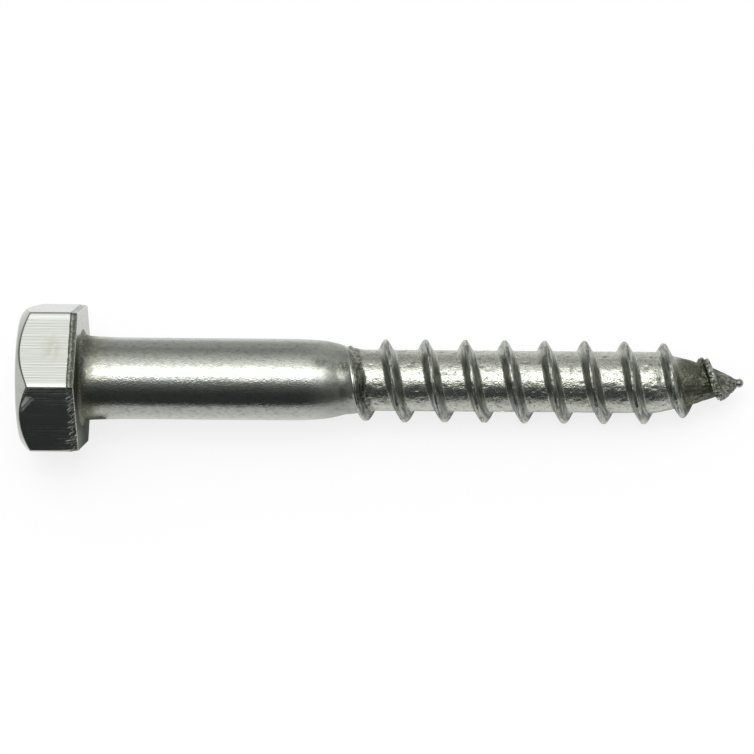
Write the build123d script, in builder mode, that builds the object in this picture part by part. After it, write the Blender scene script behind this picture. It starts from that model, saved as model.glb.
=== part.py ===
from build123d import *
from math import atan2, ceil, cos, degrees, floor, radians, sin, tan
import os

# A lag screw with a hexagon head, for wood. It is one forged and rolled piece
# of steel: head, plain shank, narrowing neck, coarse right-hand thread and a
# gimlet point. All sizes are in millimetres.
#
# The screw is drawn along +X, with the bearing face of the head at the origin
# and the point toward +X. At the end it is laid down as it rests on a level
# surface, on one flat of the head and on the thread.

# Lengths along the axis
length_under_head = 60.0
shank_length = 21.6
neck_length = 3.8
point_length = 8.0

# Head
across_flats = 12.74
head_height = 5.5
chamfer_circle_radius = 5.77
chamfer_angle = 40.0
head_edge_rounding = 0.6
corner_rounding = 0.2
trim_bevel_length = 0.65
trim_bevel_angle = 8.0

# Shank, with a slight flare and a small bevel where it meets the head
shank_diameter = 7.39
flare_diameter = 7.62
flare_length = 3.5
seat_bevel = 0.2

# Thread
pitch = 3.6
crest_diameter = 7.48
root_diameter = 5.5
crest_width = 0.28
flank_angle = 30.0
start_before_neck_end = 1.6
run_in_turns = 0.8
taper_length = 6.4
end_before_tip = 0.75
crest_under_axis = 26.44

# Point: three cones, each steeper than the one before, and a ball end
tip_radius = 0.34
first_cone_length = 3.2
first_cone_radius = 2.03
second_cone_length = 2.3
second_cone_radius = 1.28

# Sizes that follow from the ones above
flat_radius = across_flats / 2
corner_radius = flat_radius / cos(radians(30))
shank_radius = shank_diameter / 2
flare_radius = flare_diameter / 2
crest_radius = crest_diameter / 2
root_radius = root_diameter / 2
neck_end = shank_length + neck_length
point_start = length_under_head - point_length
thread_start = neck_end - start_before_neck_end
taper_start = length_under_head - taper_length
thread_end = length_under_head - end_before_tip
tip_centre = length_under_head - tip_radius
neck_step = shank_radius - root_radius
first_cone_end = point_start + first_cone_length
second_cone_end = first_cone_end + second_cone_length
outline = (
    (0.0, flare_radius),
    (flare_length, shank_radius),
    (shank_length, shank_radius),
    (shank_length + 0.3 * neck_length, shank_radius - 0.2 * neck_step),
    (shank_length + 0.7 * neck_length, shank_radius - 0.8 * neck_step),
    (neck_end, root_radius),
    (point_start, root_radius),
    (first_cone_end, first_cone_radius),
    (second_cone_end, second_cone_radius),
    (tip_centre, tip_radius),
)
cone_reach = corner_radius + 1.0 - chamfer_circle_radius


def core_radius(x):
    """Radius of the shank, neck, core or point at a distance x from the head."""
    for start, end in zip(outline, outline[1:]):
        if x <= end[0]:
            share = max(0.0, (x - start[0]) / (end[0] - start[0]))
            return start[1] + (end[1] - start[1]) * share
    return tip_radius


def ridge_height(x):
    """Height of the thread above its core, falling below it at both ends."""
    full = crest_radius - root_radius
    turns = (x - thread_start) / pitch
    if turns < run_in_turns:
        share = turns / run_in_turns
        return full * (1.15 * share * (2 - share) - 0.15)
    if x > taper_start:
        share = (x - taper_start) / (thread_end - taper_start)
        return full * (1 - share * share)
    return full


def ridge_point(x, side, level):
    """Point on the ridge whose middle is at x, on side -1 or 1, at the crest
    (level 0) or at the foot of the flank, sunk into the core (level 1)."""
    full = crest_radius - root_radius
    height = ridge_height(x)
    size = max(0.2, min(1.0, height / full + 0.1))
    base = max(0.25, core_radius(x) + height - size * full)
    sunk = min(0.25, base - 0.1)
    crest = crest_width / 2 * size
    foot = crest + (size * full + sunk) * tan(radians(flank_angle))
    offset = (crest, foot)[level]
    radius = (base + size * full, base - sunk)[level]
    turned = radians(270 - 360 * (x - crest_under_axis) / pitch)
    return Vector(x + side * offset, -radius * cos(turned), radius * sin(turned))


def ridge_curve(x_from, x_to, side, level):
    """Smooth curve along one stretch of the ridge."""
    steps = max(3, round(12 * (x_to - x_from) / pitch))
    points = []
    for step in range(steps + 1):
        points.append(ridge_point(x_from + (x_to - x_from) * step / steps, side, level))
    tangents = []
    for x in (x_from, x_to):
        tangents.append(ridge_point(x + 0.01, side, level) - ridge_point(x - 0.01, side, level))
    return Spline(*points, tangents=tangents, tangent_scalars=(1.01, 1.01))


# Core: shank, neck, cylinder under the thread and the point with its ball end
with BuildPart() as core:
    with BuildSketch(Plane.XY) as core_profile:
        with BuildLine() as core_line:
            Polyline(
                (length_under_head, 0),
                (-1.0, 0),
                (-1.0, flare_radius + seat_bevel),
                (0, flare_radius + seat_bevel),
                (seat_bevel, flare_radius),
                *outline[1:],
            )
            CenterArc((tip_centre, 0), tip_radius, 0, 90)
        make_face()
    revolve(axis=Axis.X)

# Thread ridge, built one turn after another
with BuildPart() as ridge:
    corners = ((1, 0), (1, 1), (-1, 1), (-1, 0))
    ridge_end = thread_end + 0.15
    turn_count = ceil((ridge_end - thread_start) / pitch)
    skin = []
    for turn in range(turn_count):
        x_from = thread_start + (ridge_end - thread_start) * turn / turn_count
        x_to = thread_start + (ridge_end - thread_start) * (turn + 1) / turn_count
        with BuildLine() as stretch:
            ring = [ridge_curve(x_from, x_to, side, level) for side, level in corners]
        for index in range(len(ring)):
            near = ring[index].edge()
            far = ring[(index + 1) % len(ring)].edge()
            skin.append(Face.make_surface_from_curves(near, far))
    for x in (thread_start, ridge_end):
        rim = Wire.make_polygon([ridge_point(x, *corner) for corner in corners], close=True)
        skin.append(Face(rim))
    add(Solid(Shell(skin)))

# Head: hexagon with a trimmed bevel at the bearing face and a coned top edge
with BuildPart() as head:
    with BuildSketch(Plane.YZ.offset(-head_height)) as hexagon:
        RegularPolygon(radius=corner_radius, side_count=6)
        fillet(hexagon.vertices(), radius=corner_rounding)
    extrude(amount=head_height - trim_bevel_length)
    extrude(
        head.faces().sort_by(Axis.X)[-1],
        amount=trim_bevel_length,
        taper=trim_bevel_angle,
    )
    with BuildSketch(Plane.XY) as cone_profile:
        with BuildLine() as cone_line:
            top_line = FilletPolyline(
                (-head_height, 0),
                (-head_height, chamfer_circle_radius),
                (
                    -head_height + cone_reach * tan(radians(chamfer_angle)),
                    chamfer_circle_radius + cone_reach,
                ),
                radius=head_edge_rounding,
            )
            Polyline(top_line @ 1, (1.0, corner_radius + 1.0), (1.0, 0), top_line @ 0)
        make_face()
    revolve(axis=Axis.X, mode=Mode.INTERSECT)

# The whole screw
with BuildPart() as screw:
    add(core.part)
    add(ridge.part)
    add(head.part)

# Laid down to rest on the lower edge of the trimmed flat and on the last full
# crest of the thread, over the middle of its own footprint
crests_to_point = floor((point_start - crest_under_axis) / pitch)
contact_x = crest_under_axis + crests_to_point * pitch
rest_tilt = degrees(atan2(flat_radius - crest_radius, contact_x + trim_bevel_length))
tilted = screw.part.rotate(Axis.Y, rest_tilt)
footprint = tilted.bounding_box()
shift = Location((-footprint.center().X, -footprint.center().Y, -footprint.min.Z))

with BuildPart() as lag_screw:
    add(tilted.moved(shift))

lag_screw.part.label = "lag_screw"

os.makedirs("parts", exist_ok=True)
export_step(lag_screw.part, "parts/lag_screw.step")
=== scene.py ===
"""Lag screw of plain bright steel, lying on a pale studio floor.

The screw's skin is built in two pieces that stand for the CAD solid: the
forged head and the rolled body. Both are grids of points in the screw's own
axes, laid down in the resting pose of the CAD frame. Metres in Blender,
millimetres in the sizes below.
"""

import logging
import math
from dataclasses import dataclass
from enum import Enum

import bpy
import bmesh
import numpy as np
from mathutils import Euler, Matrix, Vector


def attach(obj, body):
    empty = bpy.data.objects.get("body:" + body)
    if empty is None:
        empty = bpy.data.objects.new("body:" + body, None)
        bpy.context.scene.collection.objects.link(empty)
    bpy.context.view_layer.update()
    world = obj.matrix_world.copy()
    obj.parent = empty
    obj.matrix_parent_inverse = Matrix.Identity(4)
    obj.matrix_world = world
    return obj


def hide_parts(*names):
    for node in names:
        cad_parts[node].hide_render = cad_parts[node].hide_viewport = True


LOG = logging.getLogger("lag_screw")
MM = 0.001
# Height over the floor at which the skin stays, in mm
FLOOR_GAP = 0.006

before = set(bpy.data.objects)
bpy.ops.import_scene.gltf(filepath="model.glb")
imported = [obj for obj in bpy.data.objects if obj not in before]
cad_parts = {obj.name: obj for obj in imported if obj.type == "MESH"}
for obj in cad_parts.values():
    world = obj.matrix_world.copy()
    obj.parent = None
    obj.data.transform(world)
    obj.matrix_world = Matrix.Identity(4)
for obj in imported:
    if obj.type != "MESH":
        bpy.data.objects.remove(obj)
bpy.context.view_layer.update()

# Distance along the axis, radii and masks of one row of points
Row = tuple[float, np.ndarray, dict]


class Zone(Enum):
    """Named vertex values that the finishes read."""

    FRACTURE = "fracture"
    STAIN = "stain"
    GROOVE = "groove"
    # Darkening by scale and film, which also carries painted shade and painted reflections of dark
    # surroundings
    SCALE = "scale"
    DULL = "dull"
    RIDGE = "ridge"
    ACROSS_RIDGE = "across_ridge"
    ALONG_RIDGE = "along_ridge"


def soft_max(a: np.ndarray, b: np.ndarray, blend: float) -> np.ndarray:
    """Larger of two heights, rounded over a width where they meet.

    Args:
        a: First heights.
        b: Second heights.
        blend: Width of the rounding.

    Returns:
        The blended heights.
    """
    overlap = np.clip(0.5 + 0.5 * (a - b) / blend, 0.0, 1.0)
    return b + (a - b) * overlap + blend * overlap * (1.0 - overlap)


def soft_min(a: np.ndarray, b: np.ndarray, blend: float) -> np.ndarray:
    """Smaller of two heights, rounded over a width where they meet."""
    return -soft_max(-a, -b, blend)


def smooth_step(value: np.ndarray, low: float, high: float) -> np.ndarray:
    """Smooth rise from 0 at low to 1 at high, or fall where high is the lower."""
    share = np.clip((value - low) / (high - low), 0.0, 1.0)
    return share * share * (3.0 - 2.0 * share)


def bell(value: np.ndarray, middle: float, reach: float) -> np.ndarray:
    """Rounded peak of height 1."""
    return np.exp(-(((value - middle) / reach) ** 2))


def largest(*values: np.ndarray) -> np.ndarray:
    """Largest of several masks, point by point."""
    return np.maximum.reduce(values)


@dataclass(frozen=True)
class Fade:
    """Smooth change from 0 at low to 1 at high, which may lie below low."""

    low: float
    high: float

    def at(self, value: np.ndarray) -> np.ndarray:
        """Share reached at the given values."""
        return smooth_step(value, self.low, self.high)


@dataclass(frozen=True)
class Band:
    """Smooth rise from start to full, and smooth fall from last to end."""

    start: float
    full: float
    last: float
    end: float

    def at(self, value: np.ndarray) -> np.ndarray:
        """Share reached at the given values."""
        return smooth_step(value, self.start, self.full) * smooth_step(value, self.end, self.last)


@dataclass(frozen=True)
class Mound:
    """Rounded mound, or a hollow with a negative rise. Angle and spread are in degrees."""

    place: float
    angle: float
    reach: float
    spread: float
    rise: float

    def at(self, place: np.ndarray, angle: np.ndarray) -> np.ndarray:
        """Height of the mound.

        Args:
            place: Distances along the axis or across the ridge, in mm.
            angle: Angles, in radians.

        Returns:
            Heights in mm.
        """
        turned = np.mod(angle - math.radians(self.angle) + math.pi, 2 * math.pi) - math.pi
        away = ((place - self.place) / self.reach) ** 2
        return self.rise * np.exp(-away - (np.degrees(turned) / self.spread) ** 2)


@dataclass(frozen=True)
class ScrewAxes:
    """Where the screw's own axes lie in the row frame.

    The screw's axis runs along +X toward the point, with the middle of the
    bearing face at zero. Angles about it go from the front (-Y) upward.
    """

    origin: tuple[float, float, float] = (-27.076, 0.0, 6.3356)
    droop: float = 2.8793

    def lay_down(self, along: np.ndarray, radius: np.ndarray, angle: np.ndarray) -> np.ndarray:
        """Turn distances, radii and angles into places in the row frame.

        Args:
            along: Distance from the bearing face toward the point, in mm.
            radius: Distance from the axis, in mm.
            angle: Angle from the front upward, in radians.

        Returns:
            Places as an array of shape (n, 3), in metres.
        """
        droop = math.radians(self.droop)
        up = radius * np.sin(angle)
        places = (
            along * math.cos(droop) + up * math.sin(droop) + self.origin[0],
            -radius * np.cos(angle) + self.origin[1],
            up * math.cos(droop) - along * math.sin(droop) + self.origin[2],
        )
        return np.stack(places, axis=-1) * MM

    def floor_limit(self, along: np.ndarray, angle: np.ndarray) -> np.ndarray:
        """Largest radius that stays on the floor's upper side.

        Args:
            along: Distances along the axis, in mm.
            angle: Angles, in radians.

        Returns:
            Radii in mm.
        """
        droop = math.radians(self.droop)
        clearance = self.origin[2] - along * math.sin(droop) - FLOOR_GAP
        return clearance / np.clip(-np.sin(angle) * math.cos(droop), 1e-3, None)


class SurfaceNoise:
    """Smooth random relief over two coordinates, the second one closed."""

    def __init__(self, seed: int, cell: tuple[float, float], period: float) -> None:
        """Make the lattice.

        Args:
            seed: Seed of the random values.
            cell: Size of a cell along the two coordinates.
            period: Length after which the second coordinate repeats.
        """
        self.cell_u = cell[0]
        self.columns = max(3, round(period / cell[1]))
        self.cell_v = period / self.columns
        self.rows = 512
        self.lattice = np.random.default_rng(seed).uniform(-1.0, 1.0, (self.rows, self.columns))

    def at(self, u: np.ndarray, v: np.ndarray) -> np.ndarray:
        """Relief at the given places, from about -1 to 1.

        Args:
            u: First coordinate.
            v: Second coordinate, which repeats.

        Returns:
            The relief.
        """
        gu, gv = u / self.cell_u + 100.0, v / self.cell_v
        iu, iv = np.floor(gu).astype(int), np.floor(gv).astype(int)
        fu, fv = smooth_step(gu - iu, 0.0, 1.0), smooth_step(gv - iv, 0.0, 1.0)
        value = np.zeros(np.broadcast(u, v).shape)
        for du, wu in ((0, 1 - fu), (1, fu)):
            for dv, wv in ((0, 1 - fv), (1, fv)):
                value += wu * wv * self.lattice[(iu + du) % self.rows, (iv + dv) % self.columns]
        return value


class SkinMesh:
    """Collects grids of points and their masks, and makes one closed mesh."""

    def __init__(self, name: str, axes: ScrewAxes) -> None:
        """Start an empty skin.

        Args:
            name: Name of the Blender object.
            axes: The screw's axes.
        """
        self.name = name
        self.axes = axes
        self.points: list[np.ndarray] = []
        self.lays: list[np.ndarray] = []
        self.masks: dict[Zone, list[np.ndarray]] = {zone: [] for zone in Zone}
        self.faces: list[tuple[int, ...]] = []
        self.count = 0

    def add_points(
        self, along: np.ndarray, radius: np.ndarray, angle: np.ndarray, masks: dict
    ) -> int:
        """Add points to the skin.

        Args:
            along: Distances along the axis, in mm.
            radius: Radii, in mm.
            angle: Angles, in radians.
            masks: Values for some of the zones.

        Returns:
            Number of the first point added.
        """
        first = self.count
        along, radius, angle = (np.ravel(a).astype(float) for a in (along, radius, angle))
        self.points.append(self.axes.lay_down(along, radius, angle))
        self.lays.append(
            np.stack((along, -radius * np.cos(angle), radius * np.sin(angle)), axis=-1)
        )
        for zone in Zone:
            self.masks[zone].append(np.ravel(masks.get(zone, np.zeros(len(along)))))
        self.count += len(along)
        return first

    def lace(self, first: int, rows: int, count: int) -> None:
        """Join rows of points, each closed into a ring, with faces.

        Args:
            first: Number of the first point.
            rows: Number of rows.
            count: Points in each row.
        """
        for row in range(rows - 1):
            near, far = first + row * count, first + (row + 1) * count
            for column in range(count):
                after = (column + 1) % count
                self.faces.append((near + column, near + after, far + after, far + column))

    def close(self, first: int, count: int, step: int = 1) -> None:
        """Close a ring of points with one face, against their order where step is -1."""
        self.faces.append(tuple(range(first, first + count)[::step]))

    def build(self, merge: float) -> bpy.types.Object:
        """Make the Blender object, with doubled points merged.

        Args:
            merge: Points closer than this are merged, in metres.

        Returns:
            The object, linked to the scene.
        """
        mesh = bpy.data.meshes.new(self.name)
        mesh.from_pydata(np.concatenate(self.points).tolist(), [], self.faces)
        for zone in Zone:
            layer = mesh.attributes.new(zone.value, "FLOAT", "POINT")
            layer.data.foreach_set("value", np.concatenate(self.masks[zone]).astype(np.float32))
        place = mesh.attributes.new("axis_place", "FLOAT_VECTOR", "POINT")
        place.data.foreach_set("vector", np.concatenate(self.lays).astype(np.float32).ravel())
        work = bmesh.new()
        work.from_mesh(mesh)
        bmesh.ops.remove_doubles(work, verts=work.verts, dist=merge)
        bmesh.ops.dissolve_degenerate(work, edges=work.edges, dist=merge / 10)
        bmesh.ops.recalc_face_normals(work, faces=work.faces)
        for face in work.faces:
            face.smooth = True
        work.to_mesh(mesh)
        work.free()
        thing = bpy.data.objects.new(self.name, mesh)
        bpy.context.scene.collection.objects.link(thing)
        return thing


@dataclass
class BodySpots:
    """Points on the body: where they lie along the axis and by the ridge, and the relief."""

    along: np.ndarray
    angle: np.ndarray
    # Distance across the nearest ridge, and where its middle lies
    offset: np.ndarray
    ridge_at: np.ndarray
    core: np.ndarray
    waves: np.ndarray
    dents: np.ndarray
    pits: np.ndarray
    chips: np.ndarray
    early: np.ndarray
    torn: np.ndarray
    scraped: np.ndarray


@dataclass
class RolledBody:
    """Shank, neck, thread and gimlet point, rolled from the drawn wire."""

    axes: ScrewAxes
    # Core outline: distances from the bearing face and radii
    core_places: tuple[float, ...] = (
        -0.2, 0.0, 0.1, 0.25, 0.5, 0.9, 3.5, 19.6, 21.2, 22.3, 23.2, 24.2, 25.6, 52.0, 55.2,
        57.4, 58.8, 59.15, 59.45,
    )
    core_radii: tuple[float, ...] = (
        4.70, 4.40, 4.16, 3.97, 3.85, 3.80, 3.70, 3.69, 3.61, 3.51, 3.32, 3.00, 2.76, 2.75,
        2.03, 1.28, 0.60, 0.37, 0.33,
    )
    outline_rounding: float = 0.5
    outline_step: float = 0.05
    outline_rounded: Band = Band(0.8, 2.0, 57.8, 59.0)
    # Radii by which angles turn into lengths for the random relief
    root_radius: float = 2.75
    rim_radius: float = 3.7
    nib_centre: float = 59.60
    nib_radius: float = 0.39
    nib_neck: float = 0.33
    # Thread
    threaded: Fade = Fade(24.0, 25.4)
    pitch: float = 3.6
    crest_under_axis: float = 26.44
    crest_height: float = 0.99
    crest_half_width: float = 0.07
    crest_rounding: float = 0.15
    crest_nicks: float = 0.018
    nick_stretch: float = 0.6
    crest_lean: float = 0.03
    crest_wander: float = 0.03
    # The ridge stands out further on one side of the core
    crest_runout: float = 0.035
    runout_angle: float = 23.3
    seam_place: float = 0.02
    seam_depth: float = 0.028
    seam_half_width: float = 0.05
    seam_stretch: float = 0.4
    flank_angle: float = 25.5
    root_blend: float = 0.20
    wider_blend: Fade = Fade(0.1, 0.3)
    # The run-in, with a gentler slope toward the point and a shoulder toward the neck
    thread_start: float = 23.8
    run_in_turns: float = 0.8
    run_in_dip: float = 0.15
    height_before: float = -0.5
    early: Fade = Fade(26.4, 25.2)
    early_width: float = 0.04
    gentle_slope: float = 0.68
    gentle_end: Fade = Fade(25.3, 24.8)
    shoulder_along: Band = Band(23.8, 24.1, 25.1, 25.6)
    shoulder_start: float = -1.45
    shoulder_width: float = 1.3
    shoulder_curve: float = 1.4
    shoulder_height: float = 0.85
    shoulder_blend: float = 0.04
    scraped_along: Fade = Fade(23.6, 24.0)
    scraped_across: Band = Band(0.10, 0.20, 0.95, 1.30)
    # The last turn, torn as the point was pinched off
    torn: Fade = Fade(55.4, 56.1)
    torn_places: tuple[float, ...] = (53.6, 54.6, 56.4, 58.2, 58.9, 59.12, 59.4)
    torn_heights: tuple[float, ...] = (1.00, 0.98, 0.66, 0.55, 0.45, 0.05, -0.3)
    torn_half_width: float = 0.27
    torn_shift: float = 0.07
    torn_chips: float = 0.16
    flank_chips: float = 0.06
    chipped_flank: Fade = Fade(0.05, 0.3)
    # Metal squeezed out beside the point
    lump: Mound = Mound(58.95, -24.0, 0.38, 48.0, 0.36)
    # Fold on the first ridge, placed across the ridge, and the pit over it
    fold: Mound = Mound(0.70, -5.0, 0.20, 17.0, 0.14)
    pit: Mound = Mound(26.22, 24.0, 0.10, 4.5, -0.09)
    # Tooth where the first ridge comes over the top, and the fuller underside of the neck
    tooth: Mound = Mound(24.45, 150.0, 0.17, 14.0, 0.20)
    heel: Mound = Mound(24.9, -23.0, 0.9, 32.0, 0.14)
    # Split in the torn lip
    split: Mound = Mound(56.45, 150.0, 0.13, 25.0, -0.35)
    # Relief
    root_waves: float = 0.009
    wavier: Fade = Fade(44.0, 49.0)
    root_pits: float = 0.11
    pit_level: float = 0.45
    scraped_pits: float = 0.10
    ridge_dents: float = 0.010
    shank_waves: float = 0.004
    pointed: Band = Band(55.5, 56.5, 59.3, 59.5)
    # Zones of the finish
    in_groove: Fade = Fade(0.30, 0.05)
    on_flank: Fade = Fade(0.05, 0.2)
    on_ridge: Fade = Fade(0.03, 0.25)
    tall_enough: Fade = Fade(0.1, 0.3)
    # Start of the shank by the head, darkened as painted shade and painted reflection of the head
    seated: Fade = Fade(2.0, 0.1)
    oiled_shank: Fade = Fade(4.2, 0.4)
    grimy: Band = Band(53.4, 54.8, 57.5, 58.2)
    grime_depth: Fade = Fade(0.7, 0.3)
    # Upper side of the flanks, which gets less painted shade because it faces the bright floor
    # behind
    upper_flank: Band = Band(96.0, 112.0, 180.0, 200.0)
    neck: Fade = Fade(19.8, 22.4)
    before_ridge: Fade = Fade(-0.12, -0.26)
    first_ridge: Fade = Fade(27.2, 26.2)
    before_thread: Fade = Fade(23.9, 23.5)
    smudge: Mound = Mound(22.0, math.degrees(1.62), 0.75, math.degrees(0.14), 1.1)
    # Painted shade on the neck's upper side, which tones down its highlight: angle and spread in
    # radians
    shade_angle: float = 1.53
    shade_spread: float = 0.20
    shaded: Fade = Fade(21.8, 23.0)
    shade_deepens: Fade = Fade(23.2, 24.0)
    # Foot of the torn lip across the ridge, darkened as painted shade in the crease there
    foot_place: float = -0.50
    foot_reach: float = 0.14
    # Grid
    around: int = 200
    grid_start: float = 21.0
    grid_end: float = 59.34
    seat_rings: tuple[float, ...] = (-0.2, -0.1, 0.0, 0.05, 0.1, 0.17, 0.25, 0.37)
    flare_end: float = 3.4
    # Distances of the grid's rows from the ridge's middle
    half_rows: tuple[float, ...] = (
        0.0, 0.04, 0.08, 0.13, 0.18, 0.25, 0.35, 0.47, 0.60, 0.72, 0.82, 0.91, 1.0, 1.11,
        1.22, 1.34, 1.46, 1.58, 1.69,
    )
    merge: float = 1.5e-6

    def __post_init__(self) -> None:
        """Prepare the random relief, all of it seeded."""
        root, rim = 2 * math.pi * self.root_radius, 2 * math.pi * self.rim_radius
        self.waves = SurfaceNoise(3, (0.55, 0.45), root)
        self.dents = SurfaceNoise(7, (0.27, 0.24), root)
        self.craters = SurfaceNoise(13, (0.42, 0.38), root)
        self.wander = SurfaceNoise(11, (1.4, 2.0), rim)
        self.chips = SurfaceNoise(19, (0.30, 0.30), rim)
        self.swells = SurfaceNoise(41, (2.2, 1.3), rim)
        self.nicks = SurfaceNoise(43, (0.5, 0.16), rim)

    def core_radius(self, along: np.ndarray) -> np.ndarray:
        """Radius of the bare core, with its corners rounded.

        Args:
            along: Distances along the axis, in mm.

        Returns:
            Radii in mm.
        """
        fine = np.arange(-2.0, 62.0, self.outline_step)
        raw = np.interp(fine, self.core_places, self.core_radii)
        width = int(self.outline_rounding / self.outline_step) * 2 + 1
        window = np.hanning(width + 2)[1:-1]
        rounded = np.convolve(raw, window / window.sum(), mode="same")
        return np.interp(along, fine, raw + (rounded - raw) * self.outline_rounded.at(fine))

    def planned_height(self, along: np.ndarray) -> np.ndarray:
        """Height of the thread's crest over the core along the helix.

        Args:
            along: Where the ridge's middle lies, in mm.

        Returns:
            Heights in mm, negative where there is no ridge.
        """
        turns = (along - self.thread_start) / self.pitch
        rise = np.clip(turns / self.run_in_turns, 0.0, 1.0)
        rise = (1 + self.run_in_dip) * rise * (2 - rise) - self.run_in_dip
        height = np.where(turns < 0, self.height_before, self.crest_height * rise)
        late = along > self.torn_places[0]
        return np.where(late, np.interp(along, self.torn_places, self.torn_heights), height)

    def spots(self, along: np.ndarray, angle: np.ndarray) -> BodySpots:
        """Find where points lie by the ridge, and the relief there.

        Args:
            along: Distances along the axis, in mm.
            angle: Angles, in radians.

        Returns:
            The points' places and relief.
        """
        turn = (along - self.crest_under_axis) / self.pitch + (np.degrees(angle) - 270.0) / 360.0
        offset = (turn - np.round(turn)) * self.pitch
        ridge_at = along - offset
        around = angle * self.root_radius
        early = self.early.at(ridge_at)
        return BodySpots(
            along=along,
            angle=angle,
            offset=offset,
            ridge_at=ridge_at,
            core=self.core_radius(along),
            waves=self.waves.at(along, around),
            dents=self.dents.at(along, around),
            pits=np.clip(self.craters.at(along, around) - self.pit_level, 0, 1),
            chips=self.chips.at(along, angle * self.rim_radius),
            early=early,
            torn=self.torn.at(ridge_at),
            scraped=early * self.scraped_along.at(ridge_at) * self.scraped_across.at(offset),
        )

    def root(self, on: BodySpots) -> np.ndarray:
        """Radius of the shank, the neck and the grooves.

        Args:
            on: The points.

        Returns:
            Radii in mm.
        """
        relief = self.root_waves * (on.waves + 0.8 * on.dents) * (1 + self.wavier.at(on.along))
        relief = (relief - self.root_pits * on.pits) * (1 + 0.9 * self.pointed.at(on.along))
        scrapes = np.clip(0.4 - on.waves - on.dents, 0, 1.2)
        relief = relief - self.scraped_pits * on.scraped * scrapes
        relief = relief + self.lump.at(on.along, on.angle) + self.pit.at(on.along, on.angle)
        swells = self.shank_waves * self.swells.at(on.along, on.angle * self.rim_radius)
        threaded = self.threaded.at(on.along)
        root = on.core + relief * threaded + swells * (1 - threaded)
        return root + self.tooth.at(on.along, on.angle) + self.heel.at(on.along, on.angle)

    def ridge_height(self, on: BodySpots) -> np.ndarray:
        """Height of the crest nearest to each point, with its wear.

        Args:
            on: The points.

        Returns:
            Heights over the core, in mm.
        """
        rim = on.angle * self.rim_radius
        wander = self.crest_wander * self.wander.at(on.ridge_at, rim)
        runout = self.crest_runout * np.cos(on.angle + math.radians(self.runout_angle))
        nicks = self.crest_nicks * self.nicks.at(on.along * self.nick_stretch, rim)
        height = self.planned_height(on.ridge_at) * (1 + wander)
        height = height + (runout + nicks * (1 - 0.7 * on.early)) * (1 - on.torn)
        return height + self.torn_chips * on.torn * np.clip(on.chips, -0.8, 0.5)

    def crest(self, on: BodySpots, height: np.ndarray) -> tuple[np.ndarray, np.ndarray]:
        """Profile of the ridge: narrow crest, flanks and rolling seam.

        Args:
            on: The points.
            height: Height of the crest nearest to each, in mm.

        Returns:
            Heights over the core in mm, and how deep the seam is, from 0 to 1.
        """
        size = np.clip(height / self.crest_height + 0.1, 0.2, 1.0)
        middle = on.offset - self.crest_lean - self.torn_shift * on.torn
        toward_point = on.early * (middle > 0)
        flat_top = self.crest_half_width + self.early_width * on.early
        flat_top = flat_top + (self.torn_half_width - self.crest_half_width) * on.torn
        away = np.clip(np.abs(middle) - flat_top, 0, None)
        rounding = self.crest_rounding * size * (1 - 0.75 * on.torn)
        reach = np.sqrt(away * away + rounding * rounding) - rounding
        chipped = self.flank_chips * (on.torn + 0.6 * toward_point)
        reach = reach + chipped * on.chips * self.chipped_flank.at(away)
        steep = (1 + 0.8 * on.torn) / math.tan(math.radians(self.flank_angle))
        gentle = self.gentle_slope * self.gentle_end.at(on.ridge_at) * toward_point
        crest = height - reach * steep * (1 - gentle)
        ragged = self.chips.at(on.along * self.seam_stretch, on.angle * self.rim_radius)
        seam = bell(on.offset, self.seam_place, self.seam_half_width) * (1 - on.early)
        seam = seam * size * (0.5 + 0.5 * ragged)
        crest = crest - self.seam_depth * seam * (height > 0.3)
        crest = crest + on.early * self.fold.at(on.offset, on.angle)
        return crest + self.split.at(on.along, on.angle), seam

    def surface(self, along: np.ndarray, angle: np.ndarray) -> tuple[np.ndarray, dict]:
        """Radius of the finished skin and the masks of its zones.

        Args:
            along: Distances along the axis, in mm.
            angle: Angles, in radians.

        Returns:
            Radii in mm, and the masks by zone.
        """
        on = self.spots(along, angle)
        root, height = self.root(on), self.ridge_height(on)
        crest, seam = self.crest(on, height)
        base = on.core + on.early * (self.core_radius(on.ridge_at) - on.core)
        ridge = base + crest + self.ridge_dents * on.dents * (height > 0)
        blend = self.root_blend * np.clip(on.core / self.root_radius, 0.35, 1.0)
        blend = blend * (1 - 0.75 * on.early) * (1 + 0.7 * self.wider_blend.at(on.offset))
        skin = soft_max(root, ridge, blend)
        slope = np.clip((on.offset - self.shoulder_start) / self.shoulder_width, 0, 1)
        shoulder = slope**self.shoulder_curve * (on.offset < 0.05)
        shoulder = shoulder * self.shoulder_along.at(on.ridge_at)
        ledge = root + self.shoulder_height * np.clip(height, 0, 1) * shoulder
        skin = soft_max(skin, ledge, self.shoulder_blend)
        skin = np.minimum(skin, self.axes.floor_limit(along, angle))
        lip = on.torn * smooth_step(crest, height - 0.10, height - 0.02)
        lip = lip * smooth_step(on.chips, -0.2, 0.2)
        masks = self.zones(on, skin - on.core, height, seam)
        for zone in (Zone.DULL, Zone.SCALE, Zone.FRACTURE):
            masks[zone] = masks[zone] * (1 - lip)
        masks[Zone.RIDGE] = masks[Zone.RIDGE] * (1 - smooth_step(shoulder, 0.0, 0.3))
        return skin, masks

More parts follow.
